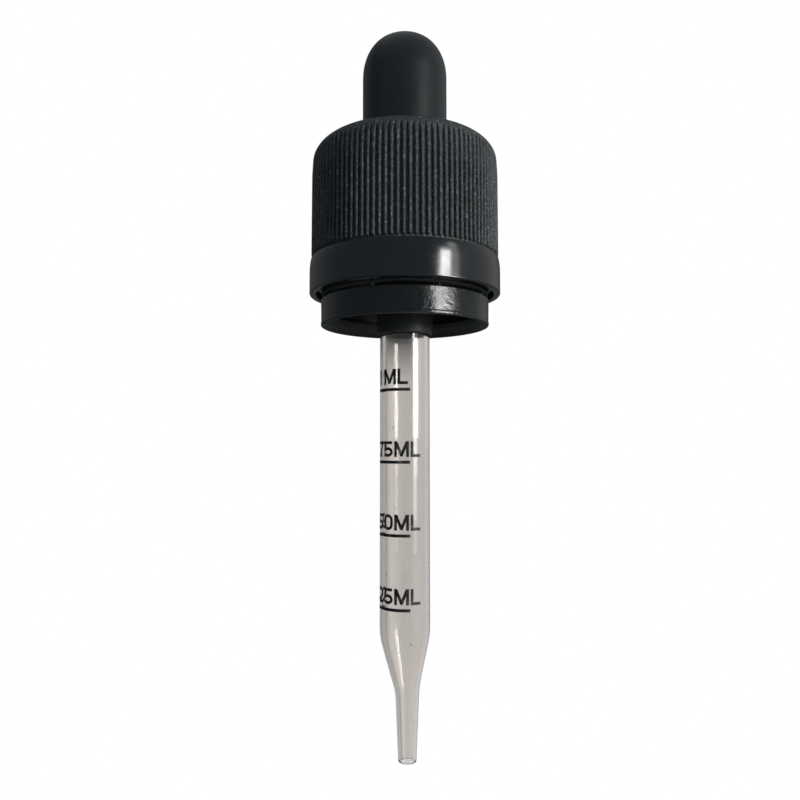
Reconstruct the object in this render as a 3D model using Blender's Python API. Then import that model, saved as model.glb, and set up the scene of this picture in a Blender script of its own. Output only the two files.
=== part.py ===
"""Medicine dropper: a push-and-turn closure with a tamper band, a rubber bulb and a glass pipette.

Every length is in millimetres and becomes metres in Blender. The origin is the centre of the face
that seals on the bottle's lip. +Z runs up the axis, towards the bulb. Turned shapes are outlines of
(radius, height) points that go once round the section.
"""

import math

import bmesh
import bpy
from mathutils import Matrix, Vector

MM = 0.001
TURN = 2 * math.pi

# Glass pipette
GLASS_R = 3.5
GLASS_WALL = 0.68
GLASS_TOP = 8.0
GLASS_BEAD_R = 4.1
GLASS_BEAD_HEIGHT = 1.1
GLASS_SHOULDER = -61.6
GLASS_NECK = -70.4
GLASS_NECK_R = 1.68
GLASS_TIP = -80.2
GLASS_TIP_R = 1.29
GLASS_TIP_WALL = 0.42
GLASS_STEPS = 32

# Inner cap
INNER_STEPS = 48
INNER_TOP = 1.7
INNER_R = 10.9
PLUG_BORE_R = 3.55
PLUG_ROOT_R = 4.9
PLUG_END_R = 3.85
PLUG_END = -21.0
SEAL_OUTER_R = 8.4
BORE_CORNER = 0.6
COLLAR_INNER_R = 7.55
COLLAR_OUTER_R = 8.1
COLLAR_TOP = 3.3
COLLAR_LIP_R = 7.25
THREAD_ROOT_R = 9.2
THREAD_DEPTH = 0.75
THREAD_PITCH = 3.0
THREAD_LOW = -9.3
THREAD_HIGH = -1.9
THREAD_FADE = 0.9
THREAD_ROWS = 15
SKIRT_BORE_R = 10.9
FLANGE_R = 12.35
FLANGE_TOP = -12.2
FLANGE_BOTTOM = -13.0
HEM_R = 11.75
INNER_BOTTOM = -15.6

# Drive teeth: one set on the inner cap's top, one under the outer cap's top
TEETH = 8
TOOTH_INNER_R = 9.3
TOOTH_OUTER_R = 10.7
INNER_TOOTH_HEIGHT = 1.2
OUTER_TOOTH_HEIGHT = 1.6

# Outer cap
RIBS = 104
RIB_DEPTH = 0.32
RIB_TOP_R = 13.2
RIB_BOTTOM_R = 13.36
OUTER_TOP = 6.4
OUTER_TOP_WALL = 1.5
SHOULDER_R = 3.0
SHOULDER_POINTS = 5
RIB_BOTTOM = -10.1
SKIRT_TOP = -10.4
SKIRT_R = 13.5
SKIRT_BOTTOM = -15.47
SKIRT_INNER_R = 12.6
SHELL_INNER_R = 11.9
BULB_HOLE_R = 6.3
BEAD_R = 12.15
PUSH_TRAVEL = 1.5

# Rubber bulb
BULB_STEPS = 40
BULB_R = 6.05
BULB_TOP = 22.3
BULB_WALL = 1.25
DOME_HEIGHT = 5.9
DOME_POINTS = 7
CROWN_R = 1.3
BULB_FLANGE_R = 7.4
BULB_FLANGE_TOP = 2.85
BULB_SEAT = 1.75
BULB_NECK_TOP = 6.7

# Push spring
SPRING_STEPS = 64
SPRING_INNER_R = 8.35
SPRING_OUTER_R = 9.05
SPRING_RING_BOTTOM = 4.35
SPRING_RING_TOP = 4.85
SPRING_FOOT = 1.78
LEAF_STAGES = 4
LEAF_SWEEP_STEPS = 3.2

# Tamper band
BAND_STEPS = 48
BAND_R = 11.87
BAND_INNER_R = 10.95
BAND_TOP = -16.1
BAND_BOTTOM = -19.8
HOOK_R = 10.15
BRIDGES = 8
BRIDGE_R = 11.37
BRIDGE_TOP_HALF = 0.2
BRIDGE_BOTTOM_HALF = 0.3
BRIDGE_GAP = 0.05

BLACK_PLASTIC = ("black_plastic", (0.0105, 0.0115, 0.0122), 0.42)
INNER_PLASTIC = ("inner_plastic", (0.0095, 0.0105, 0.011), 0.5)
BLACK_RUBBER = ("black_rubber", (0.0105, 0.0115, 0.0118), 0.72)
CLEAR_GLASS = ("clear_glass", (0.84, 0.83, 0.81), 0.06)


def clear_scene():
    for old in list(bpy.data.objects):
        bpy.data.objects.remove(old, do_unlink=True)


def material(finish):
    """A Principled material from (name, linear colour, roughness), made once."""
    name, colour, roughness = finish
    made = bpy.data.materials.get(name)
    if made:
        return made
    made = bpy.data.materials.new(name)
    made.use_nodes = True
    shader = made.node_tree.nodes["Principled BSDF"]
    shader.inputs["Base Color"].default_value = (*colour, 1.0)
    shader.inputs["Roughness"].default_value = roughness
    shader.inputs["Metallic"].default_value = 0.0
    if name == "clear_glass":
        shader.inputs["Transmission Weight"].default_value = 0.9
    return made


def ring(bm, radius, height, steps, shape):
    """One ring of vertices. A radius of 0 makes a single vertex on the axis."""
    if radius == 0:
        return [bm.verts.new((0, 0, height * MM))]
    made = []
    for step in range(steps):
        angle = TURN * step / steps
        r = shape(radius, height, step, angle) if shape else radius
        made.append(bm.verts.new((r * MM * math.cos(angle), r * MM * math.sin(angle), height * MM)))
    return made


def bridge(bm, one, other):
    """Joins two rings with faces. One may have twice the other's vertices, or be a point on the axis."""
    if len(one) < len(other):
        one, other = other, one
    steps = len(one)
    for step in range(steps):
        after = (step + 1) % steps
        if len(other) == 1:
            bm.faces.new((one[step], one[after], other[0]))
        elif len(other) == steps:
            bm.faces.new((one[step], one[after], other[after], other[step]))
        elif step % 2 == 0:
            bm.faces.new((one[step], one[after], other[step // 2]))
        else:
            last = other[step // 2]
            following = other[(step // 2 + 1) % len(other)]
            bm.faces.new((one[step], following, last))
            bm.faces.new((one[step], one[after], following))


def turned(outline, steps, shape=None, counts=None):
    """A closed turned solid. The outline closes on itself unless both its ends are on the axis."""
    bm = bmesh.new()
    counts = counts or [steps] * len(outline)
    rings = [ring(bm, r, z, count, shape) for (r, z), count in zip(outline, counts)]
    for one, other in zip(rings, rings[1:]):
        bridge(bm, one, other)
    if outline[0][0] > 0:
        bridge(bm, rings[-1], rings[0])
    bmesh.ops.recalc_face_normals(bm, faces=bm.faces)
    return bm


def arc(centre_r, centre_z, radius_r, radius_z, start, end, points):
    """Points along an elliptical arc, with both ends, at angles in degrees."""
    made = []
    for i in range(points):
        angle = math.radians(start + (end - start) * i / (points - 1))
        made.append((centre_r + radius_r * math.cos(angle), centre_z + radius_z * math.sin(angle)))
    return made


def finish(bm, name, surface, sharp_degrees=35):
    """Turns a bmesh into a named object with its material and smooth round surfaces."""
    mesh = bpy.data.meshes.new(name)
    bm.to_mesh(mesh)
    bm.free()
    mesh.materials.append(material(surface))
    mesh.shade_smooth()
    mesh.set_sharp_from_angle(angle=math.radians(sharp_degrees))
    made = bpy.data.objects.new(name, mesh)
    bpy.context.scene.collection.objects.link(made)
    return made


def axis_empty(name, height):
    """An empty on the axis, for pieces that move together on one joint."""
    made = bpy.data.objects.new(name, None)
    made.location = (0, 0, height * MM)
    bpy.context.scene.collection.objects.link(made)
    return made


def hang_on(child, parent):
    """Parents the child and keeps it where it is."""
    bpy.context.view_layer.update()
    child.parent = parent
    child.matrix_parent_inverse = parent.matrix_world.inverted()


def glass_outside():
    """The glass tube's outer line, from under the bead down to the tip."""
    cone_top = (3.2, GLASS_SHOULDER - 2.5)
    cone_bottom = (2.1, GLASS_NECK + 2.0)
    return [
        (GLASS_R, GLASS_TOP - GLASS_BEAD_HEIGHT - 0.5),
        (GLASS_R, GLASS_SHOULDER),
        (GLASS_R - 0.1, GLASS_SHOULDER - 1.2),
        cone_top,
        cone_bottom,
        (GLASS_NECK_R + 0.12, GLASS_NECK + 0.7),
        (GLASS_NECK_R, GLASS_NECK),
        (GLASS_TIP_R, GLASS_TIP),
    ]


def glass_inside(outside):
    """The bore follows the outer line, with a wall that gets thinner towards the tip."""
    made = []
    for r, z in outside:
        share = min(1.0, max(0.0, (GLASS_SHOULDER - z) / (GLASS_SHOULDER - GLASS_NECK)))
        made.append((r - GLASS_WALL - (GLASS_TIP_WALL - GLASS_WALL) * share, z))
    return made


def glass_pipette():
    bead_z = GLASS_TOP - GLASS_BEAD_HEIGHT / 2
    bead = arc(GLASS_R, bead_z, GLASS_BEAD_R - GLASS_R, GLASS_BEAD_HEIGHT / 2, 60, -60, 4)
    outside = glass_outside()
    inside = glass_inside(outside)
    top = [(GLASS_R - GLASS_WALL, GLASS_TOP - 0.3), (GLASS_R - 0.3, GLASS_TOP)]
    outline = top + bead + outside + inside[::-1]
    return finish(turned(outline, GLASS_STEPS), "glass_pipette", CLEAR_GLASS)


def thread_height(height, angle):
    """How far the thread stands in from its root at this place: a rounded ridge that fades at its ends."""
    from_start = height - THREAD_LOW
    if from_start < 0 or height > THREAD_HIGH:
        return 0.0
    phase = (height - THREAD_PITCH * angle / TURN) % THREAD_PITCH
    ridge = max(0.0, math.cos(TURN * (phase / THREAD_PITCH - 0.5)))
    fade = min(1.0, from_start / THREAD_FADE, (THREAD_HIGH - height) / THREAD_FADE)
    return THREAD_DEPTH * ridge * fade


def inner_shape(radius, height, step, angle):
    """Cuts the screw thread into the inner cap's bore, which is the only ring at its root radius."""
    if abs(radius - THREAD_ROOT_R) < 1e-6:
        return radius - thread_height(height, angle)
    return radius


def inner_outline():
    top = [
        (PLUG_BORE_R, INNER_TOP),
        (COLLAR_INNER_R, INNER_TOP),
        (COLLAR_INNER_R, COLLAR_TOP - 0.35),
        (COLLAR_LIP_R, COLLAR_TOP - 0.2),
        (COLLAR_LIP_R + 0.2, COLLAR_TOP),
        (COLLAR_OUTER_R, COLLAR_TOP),
        (COLLAR_OUTER_R, INNER_TOP),
        (TOOTH_INNER_R, INNER_TOP),
        (TOOTH_OUTER_R, INNER_TOP),
        (INNER_R, INNER_TOP - 0.3),
    ]
    skirt = [
        (INNER_R, FLANGE_TOP + 1.2),
        (FLANGE_R, FLANGE_TOP),
        (FLANGE_R, FLANGE_BOTTOM),
        (HEM_R, FLANGE_BOTTOM),
        (HEM_R, INNER_BOTTOM),
        (SKIRT_BORE_R, INNER_BOTTOM),
        (SKIRT_BORE_R, FLANGE_TOP - 0.3),
    ]
    low = FLANGE_TOP + 1.0
    rise = -BORE_CORNER - low
    bore = [(THREAD_ROOT_R, low + rise * row / THREAD_ROWS) for row in range(THREAD_ROWS + 1)]
    plug = [
        (SEAL_OUTER_R, 0.0),
        (PLUG_ROOT_R + 0.4, 0.0),
        (PLUG_ROOT_R, -0.4),
        (PLUG_END_R + 0.06, PLUG_END + 0.4),
        (PLUG_END_R - 0.08, PLUG_END),
        (PLUG_BORE_R, PLUG_END),
    ]
    return top + skirt + bore + plug


def raise_teeth(bm, height, rise, inner_r, outer_r, wanted):
    """Pushes teeth out of a flat ring of faces at this height. wanted says which angles, in turns, are teeth."""
    chosen = []
    for face in bm.faces:
        centre = face.calc_center_median()
        radius = math.hypot(centre.x, centre.y) / MM
        turns = (math.atan2(centre.y, centre.x) / TURN) % 1.0
        level = all(abs(v.co.z / MM - height) < 1e-4 for v in face.verts)
        if level and inner_r < radius < outer_r and wanted(turns):
            chosen.append(face)
    made = bmesh.ops.extrude_face_region(bm, geom=chosen)
    bmesh.ops.delete(bm, geom=chosen, context="FACES")
    tops = [item for item in made["geom"] if isinstance(item, bmesh.types.BMVert)]
    bmesh.ops.translate(bm, verts=tops, vec=(0, 0, rise * MM))
    bmesh.ops.recalc_face_normals(bm, faces=bm.faces)


def inner_tooth(turns):
    """The inner cap's teeth fill the first third of each pitch."""
    return (turns * TEETH) % 1.0 < 1 / 3


def outer_tooth(turns):
    """The outer cap's teeth stand in the gaps between the inner cap's teeth."""
    return 0.52 < (turns * TEETH) % 1.0 < 0.85


def inner_cap():
    bm = turned(inner_outline(), INNER_STEPS, inner_shape)
    raise_teeth(bm, INNER_TOP, INNER_TOOTH_HEIGHT, TOOTH_INNER_R, TOOTH_OUTER_R, inner_tooth)
    return finish(bm, "inner_cap", INNER_PLASTIC)


def shoulder():
    centre_z = OUTER_TOP - SHOULDER_R
    return arc(RIB_TOP_R - SHOULDER_R, centre_z, SHOULDER_R, SHOULDER_R, 90, 0, SHOULDER_POINTS)


def rib_shape(radius, height, step, angle):
    """Sinks every other step into a groove between ribs. Grooves run out on the top and at the skirt."""
    ribbed = radius > RIB_TOP_R - 2.9 and SKIRT_TOP + 0.1 < height < OUTER_TOP - 0.1
    if ribbed and step % 2 == 1:
        return radius - RIB_DEPTH
    return radius


def outer_cap():
    underside = OUTER_TOP - OUTER_TOP_WALL
    ribbed = shoulder() + [(RIB_BOTTOM_R, RIB_BOTTOM)]
    smooth = [
        (SKIRT_R - 0.08, SKIRT_TOP),
        (SKIRT_R, SKIRT_TOP - 0.15),
        (SKIRT_R, SKIRT_BOTTOM + 0.2),
        (SKIRT_R - 0.2, SKIRT_BOTTOM),
        (SKIRT_INNER_R, SKIRT_BOTTOM),
        (SKIRT_INNER_R, FLANGE_BOTTOM - 1.35),
        (BEAD_R, FLANGE_BOTTOM - 0.95),
        (BEAD_R, FLANGE_BOTTOM - 0.5),
        (SKIRT_INNER_R, FLANGE_BOTTOM - 0.3),
        (SKIRT_INNER_R, SKIRT_TOP + 0.05),
        (SHELL_INNER_R, SKIRT_TOP + 0.3),
        (SHELL_INNER_R, underside - 0.7),
        (SHELL_INNER_R - 0.7, underside),
        (TOOTH_OUTER_R, underside),
        (TOOTH_INNER_R, underside),
        (BULB_HOLE_R, underside),
        (BULB_HOLE_R, OUTER_TOP - 0.2),
        (BULB_HOLE_R + 0.2, OUTER_TOP),
    ]
    counts = [2 * RIBS] * len(ribbed) + [RIBS] * len(smooth)
    bm = turned(ribbed + smooth, RIBS, rib_shape, counts)
    raise_teeth(bm, underside, -OUTER_TOOTH_HEIGHT, TOOTH_INNER_R, TOOTH_OUTER_R, outer_tooth)
    return finish(bm, "outer_cap", BLACK_PLASTIC, 25)


def rubber_bulb():
    dome_z = BULB_TOP - DOME_HEIGHT
    inner_r = BULB_R - BULB_WALL
    outside = arc(CROWN_R, dome_z, BULB_R - CROWN_R, DOME_HEIGHT, 90, 0, DOME_POINTS)
    flange = [
        (BULB_R, BULB_FLANGE_TOP + 0.3),
        (BULB_R + 0.2, BULB_FLANGE_TOP),
        (BULB_FLANGE_R, BULB_FLANGE_TOP),
        (BULB_FLANGE_R, BULB_SEAT),
        (PLUG_BORE_R, BULB_SEAT),
        (PLUG_BORE_R, BULB_NECK_TOP - 0.4),
        (PLUG_BORE_R + 0.2, BULB_NECK_TOP - 0.2),
        (inner_r, BULB_NECK_TOP),
    ]
    inside = arc(CROWN_R, dome_z, inner_r - CROWN_R, DOME_HEIGHT - BULB_WALL, 0, 90, DOME_POINTS)
    outline = [(0, BULB_TOP)] + outside + flange + inside + [(0, BULB_TOP - BULB_WALL)]
    return finish(turned(outline, BULB_STEPS), "rubber_bulb", BLACK_RUBBER)


def push_spring():
    """A ring under the shell's top with slanting leaves that stand on the inner cap."""
    outline = [
        (SPRING_INNER_R, SPRING_RING_TOP),
        (SPRING_INNER_R, SPRING_RING_BOTTOM),
        (SPRING_OUTER_R, SPRING_RING_BOTTOM),
        (SPRING_OUTER_R, SPRING_RING_TOP),
    ]
    bm = turned(outline, SPRING_STEPS)
    drop = (SPRING_FOOT - SPRING_RING_BOTTOM) / LEAF_STAGES
    sweep = TURN / SPRING_STEPS * LEAF_SWEEP_STEPS / LEAF_STAGES
    leaves = [f for f in bm.faces if is_leaf_root(f)]
    for stage in range(LEAF_STAGES):
        made = bmesh.ops.extrude_face_region(bm, geom=leaves)
        bmesh.ops.delete(bm, geom=leaves, context="FACES")
        moved = [item for item in made["geom"] if isinstance(item, bmesh.types.BMVert)]
        leaves = [item for item in made["geom"] if isinstance(item, bmesh.types.BMFace)]
        bmesh.ops.translate(bm, verts=moved, vec=(0, 0, drop * MM))
        bmesh.ops.rotate(bm, verts=moved, cent=(0, 0, 0), matrix=Matrix.Rotation(sweep, 3, "Z"))
    bmesh.ops.recalc_face_normals(bm, faces=bm.faces)
    return finish(bm, "push_spring", INNER_PLASTIC)


def is_leaf_root(face):
    """One face of the ring's underside in each eighth of a turn is where a leaf starts."""
    centre = face.calc_center_median()
    below = all(abs(v.co.z / MM - SPRING_RING_BOTTOM) < 1e-4 for v in face.verts)
    turns = (math.atan2(centre.y, centre.x) / TURN) % 1.0
    return below and int(turns * SPRING_STEPS) % (SPRING_STEPS // TEETH) == 0


def tamper_band():
    outline = [
        (BAND_R - 0.1, BAND_TOP),
        (BAND_R, BAND_TOP - 0.1),
        (BAND_R, BAND_BOTTOM + 0.15),
        (BAND_R - 0.15, BAND_BOTTOM),
        (BAND_INNER_R + 0.1, BAND_BOTTOM),
        (BAND_INNER_R, BAND_BOTTOM + 0.4),
        (HOOK_R + 0.3, BAND_BOTTOM + 1.2),
        (HOOK_R, BAND_BOTTOM + 1.9),
        (HOOK_R + 0.3, BAND_BOTTOM + 2.1),
        (BAND_INNER_R, BAND_BOTTOM + 2.1),
        (BAND_INNER_R, BAND_TOP),
    ]
    return finish(turned(outline, BAND_STEPS), "tamper_band", BLACK_PLASTIC)


def tamper_bridge(number, band):
    """One thin web between the inner cap's hem and the band. It is narrowest at the top, where it tears."""
    low = BAND_TOP + BRIDGE_GAP
    high = INNER_BOTTOM - BRIDGE_GAP
    bm = bmesh.new()
    bmesh.ops.create_cone(
        bm,
        cap_ends=True,
        segments=6,
        radius1=BRIDGE_BOTTOM_HALF * MM,
        radius2=BRIDGE_TOP_HALF * MM,
        depth=(high - low) * MM,
    )
    made = finish(bm, f"tamper_bridge_{number}", BLACK_PLASTIC)
    angle = TURN * (number - 0.5) / BRIDGES
    place = Vector((BRIDGE_R * math.cos(angle), BRIDGE_R * math.sin(angle), (low + high) / 2))
    made.location = place * MM
    made.rotation_euler = (0, 0, angle)
    hang_on(made, band)


def main():
    clear_scene()
    inner_cap()
    glass_pipette()
    turning = axis_empty("turning", INNER_TOP)
    pushing = axis_empty("pushing", OUTER_TOP)
    releasing = axis_empty("releasing", BAND_TOP)
    hang_on(pushing, turning)
    hang_on(push_spring(), turning)
    hang_on(outer_cap(), pushing)
    band = tamper_band()
    hang_on(band, releasing)
    for number in range(1, BRIDGES + 1):
        tamper_bridge(number, band)
    rubber_bulb()


main()
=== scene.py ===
"""The looks of the medicine dropper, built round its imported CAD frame.

Lengths are in millimetres until a mesh is made. Turned pieces are made from rows: a row is a (radius,
height) pair, or a function that gives both for an array of angles. Angle 0 is +X, and the front is -90
degrees, towards -Y.
"""

import math

import bmesh
import bpy
import numpy as np
from mathutils import Matrix, Vector
from mathutils.geometry import tessellate_polygon

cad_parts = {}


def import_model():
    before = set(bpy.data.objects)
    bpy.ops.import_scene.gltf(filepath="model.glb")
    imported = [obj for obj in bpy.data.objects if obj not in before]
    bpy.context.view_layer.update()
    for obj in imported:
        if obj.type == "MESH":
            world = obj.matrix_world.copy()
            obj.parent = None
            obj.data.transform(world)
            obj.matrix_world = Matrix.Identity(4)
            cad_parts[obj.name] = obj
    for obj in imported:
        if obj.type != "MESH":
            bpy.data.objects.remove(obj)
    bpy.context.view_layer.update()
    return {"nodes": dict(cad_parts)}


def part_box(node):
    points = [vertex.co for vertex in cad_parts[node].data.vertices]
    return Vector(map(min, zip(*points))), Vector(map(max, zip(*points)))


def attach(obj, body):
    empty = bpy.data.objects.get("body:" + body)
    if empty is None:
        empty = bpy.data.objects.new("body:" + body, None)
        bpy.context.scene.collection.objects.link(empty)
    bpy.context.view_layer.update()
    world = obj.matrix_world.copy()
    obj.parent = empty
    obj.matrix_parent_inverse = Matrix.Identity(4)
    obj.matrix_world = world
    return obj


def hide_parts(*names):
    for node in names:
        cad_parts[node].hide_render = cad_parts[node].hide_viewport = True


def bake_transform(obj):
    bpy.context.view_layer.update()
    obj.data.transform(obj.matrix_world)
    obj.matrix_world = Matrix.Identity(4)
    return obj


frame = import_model()

MM = 0.001
TURN = 2 * math.pi
FRONT = -math.pi / 2


def box_mm(node):
    """A CAD node's lowest and highest corners, in millimetres."""
    low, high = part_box(node)
    return low / MM, high / MM


SHELL_LOW, SHELL_HIGH = box_mm("outer_cap")
INNER_LOW, INNER_HIGH = box_mm("inner_cap")
BAND_LOW, BAND_HIGH = box_mm("tamper_band")
SPRING_LOW, SPRING_HIGH = box_mm("push_spring")
BULB_LOW, BULB_HIGH = box_mm("rubber_bulb")
GLASS_LOW, GLASS_HIGH = box_mm("glass_pipette")

# Stretches longer than this get a point this far from each end
LONG_STRETCH = 0.5
BRACE = 0.04

# Outer cap. RIB_PHASE is a share of a rib's pitch, and the turn-in's shares are of its height
RIBS = 104
STEPS_PER_RIB = 12
RIB_HEIGHT = 0.42
RIB_HALF_WIDTH = 0.27
RIB_PHASE = 0.25
BODY_TOP_R = SHELL_HIGH.x - 0.36
GROOVE_BOTTOM_R = SHELL_HIGH.x - 0.65
GROOVE_LEAN = 0.05
SHOULDER_ACROSS = 3.34
SHOULDER_DROP = 2.99
RUN_OUT_START = 0.3
RUN_OUT_BLEND = 0.05
SKIRT_TOP = SHELL_LOW.z + 5.1
RIB_FOOT = SKIRT_TOP + 0.3
FINE_ROWS_TOP = SKIRT_TOP + 0.95
FINE_ROW_STEP = 0.07
UNCUT_R = BODY_TOP_R + 0.6
SKIRT_TURN_IN = 0.22
SKIRT_TURN_HEIGHT = 2.4
SKIRT_TURN_SHARES = (0.83, 0.67, 0.5, 0.33, 0.17)
SKIRT_INNER_R = SHELL_HIGH.x - 0.9
SHELL_INNER_R = SHELL_HIGH.x - 1.6
SHELL_UNDERSIDE = SHELL_HIGH.z - 1.5
LEDGE_RISE = 0.16
BULB_HOLE_R = 6.3
BEAD_R = 12.15
BEAD_Z = -13.7
PLAIN_STEPS = 208

# Inner cap
INNER_STEPS = 192
INNER_TOP = 1.7
INNER_R = 10.9
COLLAR_BORE_R = 7.55
COLLAR_LIP_R = 7.25
COLLAR_LIP_BOTTOM = 2.95
COLLAR_R = 8.1
COLLAR_TOP = 3.3
HEM_R = 11.75
HEM_BOTTOM = -15.6
FLANGE_Z = -12.6
PLUG_BORE_R = 3.55
PLUG_ROOT_R = 4.9
PLUG_END_R = 3.85
THREAD_ROOT_R = 9.2
THREAD_DEPTH = 0.75
THREAD_PITCH = 3.0
THREAD_HALF_WIDTH = 0.27
THREAD_FLANK = 0.16
THREAD_LOW = -9.3
THREAD_HIGH = -1.9
THREAD_FADE = 1.0
THREAD_ROWS = 72

# Drive teeth. Their spans are shares of a tooth's pitch
TEETH = 8
TOOTH_INNER_R = 9.3
TOOTH_OUTER_R = 10.7
INNER_TOOTH_HEIGHT = 1.2
OUTER_TOOTH_HEIGHT = 1.6
INNER_TOOTH_SPAN = (0.0, 0.33)
OUTER_TOOTH_SPAN = (0.54, 0.85)
TOOTH_RAMP_SHARE = 0.03
TOOTH_END_SLOPE = 0.06

# Push spring
SPRING_INNER_R = 8.35
SPRING_RING_BOTTOM = SPRING_HIGH.z - 0.5
LEAVES = 8
STEPS_PER_LEAF = 40
LEAF_WIDTH = TURN / 64
LEAF_SWEEP = TURN / 20
LEAF_STAGES = 14

# Tamper band
BAND_STEPS = 360
BAND_INNER_R = 10.95
BAND_LIP_TOP = BAND_LOW.z + 0.38
HOOK_R = 10.15
HOOK_TOP = BAND_LOW.z + 2.1
# The band's foot up to this height is painted lighter, as a highlight line along its rim
PAINTED_RIM_HIGHLIGHT_TOP = BAND_LOW.z + 0.12

# Bulb
BULB_R = 6.05
BULB_WALL = 1.25
CROWN_Z = BULB_HIGH.z + 0.2
DOME_HEIGHT = 6.35
CROWN_R = 0.7
DOME_FULLNESS = 0.91
BULB_STEPS = 144
BULB_FLANGE_TOP = 2.85
BULB_WALL_FOOT = 3.6
BULB_NECK_TOP = 6.7

# Glass
GLASS_STEPS = 160
GLASS_R = 3.5
GLASS_WALL = 0.675
TOP_BEAD_Z = GLASS_HIGH.z - 0.55
TIP_R = 1.26
TIP_WALL = 0.4
TIP_Z = GLASS_LOW.z + 0.42
CONE_TOP = GLASS_LOW.z + 17.45
CONE_BOTTOM = GLASS_LOW.z + 9.9
CONE_BOTTOM_R = 1.65
TIP_LEAN = 0.32
LEAN_SPAN = (GLASS_LOW.z + 13.9, GLASS_LOW.z + 9.0)

# Printing on the glass. Places across it are distances round the tube from its front
INK_RAISE = 0.006
INK_THICK = 0.012
LETTER_HEIGHT = 2.15
DIGIT_WIDTH = 1.56
M_WIDTH = 2.05
L_WIDTH = 1.46
ONE_WIDTH = 0.78
ONE_SPACE = 0.6
STROKE = 0.4
SHARPEST_MITRE = 0.35
LETTER_GAP = 0.22
LINE_THICK = 0.42
LINE_ENDS = (-5.25, 0.72)
LINE_GAP = 0.5
FIRST_MARK = -28.9
MARK_SPACING = 9.95
CUT_SPAN = (-9.0, 5.0)
CUT_STEP = 0.2

# Each mark's text, and how far to the right of the front it ends
MARKS = (("1ML", 0.42), (".75ML", 2.22), (".50ML", 2.22), (".25ML", 2.22))


# ---------------------------------------------------------------- shapes


def rounded(corners, closed=True, points=6):
    """A section through these (r, z) corners. A third number is the radius that rounds the corner."""
    made = []
    for i, corner in enumerate(corners):
        here = Vector(corner[:2])
        end = not closed and i in (0, len(corners) - 1)
        if len(corner) < 3 or end:
            made.append(tuple(here))
            continue
        back = (Vector(corners[i - 1][:2]) - here).normalized()
        on = (Vector(corners[(i + 1) % len(corners)][:2]) - here).normalized()
        half = back.angle(on) / 2
        centre = here + (back + on).normalized() * corner[2] / math.sin(half)
        start = here + back * corner[2] / math.tan(half) - centre
        stop = here + on * corner[2] / math.tan(half) - centre
        swing = math.atan2(start.x * stop.y - start.y * stop.x, start.dot(stop))
        for k in range(points):
            made.append(tuple(centre + Matrix.Rotation(swing * k / (points - 1), 2) @ start))
    return braced(made, closed)


def braced(points, closed):
    """Adds a point close to both ends of every long stretch, so that smooth shading keeps it straight."""
    made = []
    for i, point in enumerate(points):
        made.append(point)
        if i == len(points) - 1 and not closed:
            break
        here, there = Vector(point), Vector(points[(i + 1) % len(points)])
        length = (there - here).length
        if length > LONG_STRETCH:
            made.append(tuple(here.lerp(there, BRACE / length)))
            made.append(tuple(there.lerp(here, BRACE / length)))
    return made


def dome(centre_r, centre_z, radius_r, radius_z, fullness, points):
    """Points down a dome that is fuller than an ellipse, from its crown to its side."""
    made = []
    for angle in np.linspace(math.pi / 2, 0, points):
        across, up = math.cos(angle), math.sin(angle)
        across, up = abs(across) ** fullness, abs(up) ** fullness
        made.append((centre_r + radius_r * across, centre_z + radius_z * up))
    return made


def ellipse(centre_r, centre_z, radius_r, radius_z, start, end, points):
    """Points along an elliptical arc, angles in degrees, with both ends."""
    made = []
    for angle in np.radians(np.linspace(start, end, points)):
        made.append((centre_r + radius_r * math.cos(angle), centre_z + radius_z * math.sin(angle)))
    return made


def row_points(row, steps):
    """The vertices of one row, in millimetres."""
    if not callable(row) and row[0] == 0:
        return [(0.0, 0.0, row[1])]
    angles = TURN * np.arange(steps) / steps
    r, z = row(angles) if callable(row) else row
    r, z = np.broadcast_to(r, steps), np.broadcast_to(z, steps)
    return np.stack([r * np.cos(angles), r * np.sin(angles), z], axis=1).tolist()


def strip(one, other):
    """Faces between two rings of vertex numbers. The longer has a whole multiple of the shorter's vertices."""
    if len(one) < len(other):
        one, other = other, one
    steps = len(one)
    if len(other) == steps:
        return [(one[i], one[(i + 1) % steps], other[(i + 1) % steps], other[i]) for i in range(steps)]
    faces = []
    ratio = steps // len(other)
    for i in range(steps):
        faces.append((one[i], one[(i + 1) % steps], other[i // ratio]))
        if (i + 1) % ratio == 0 and len(other) > 1:
            following = other[(i // ratio + 1) % len(other)]
            faces.append((one[(i + 1) % steps], following, other[i // ratio]))
    return faces


def turned(name, groups, sharp_degrees):
    """A closed turned mesh. groups are (rows, steps round) pairs, for parts of different fineness."""
    points, rings = [], []
    for group, count in groups:
        for row in group:
            new = row_points(row, count)
            rings.append(list(range(len(points), len(points) + len(new))))
            points.extend(new)
    faces = []
    for one, other in zip(rings, rings[1:]):
        faces.extend(strip(one, other))
    if len(rings[0]) > 1:
        faces.extend(strip(rings[-1], rings[0]))
    return mesh_object(name, points, faces, sharp_degrees)


def mesh_object(name, points, faces, sharp_degrees):
    """A smooth-shaded object from points in millimetres, with its faces turned outwards."""
    mesh = bpy.data.meshes.new(name)
    mesh.from_pydata([(x * MM, y * MM, z * MM) for x, y, z in points], [], faces)
    bm = bmesh.new()
    bm.from_mesh(mesh)
    bmesh.ops.recalc_face_normals(bm, faces=bm.faces)
    bm.to_mesh(mesh)
    bm.free()
    mesh.shade_smooth()
    mesh.set_sharp_from_angle(angle=math.radians(sharp_degrees))
    made = bpy.data.objects.new(name, mesh)
    bpy.context.scene.collection.objects.link(made)
    return made


# ---------------------------------------------------------------- materials


def new_material(name, colour, roughness, specular):
    """A Principled material with its plain values on the shader's own sockets."""
    made = bpy.data.materials.new(name)
    made.use_nodes = True
    tree = made.node_tree
    shader = tree.nodes["Principled BSDF"]
    shader.inputs["Base Color"].default_value = (*colour, 1.0)
    shader.inputs["Roughness"].default_value = roughness
    shader.inputs["Specular IOR Level"].default_value = specular
    return made, tree, shader


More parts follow.
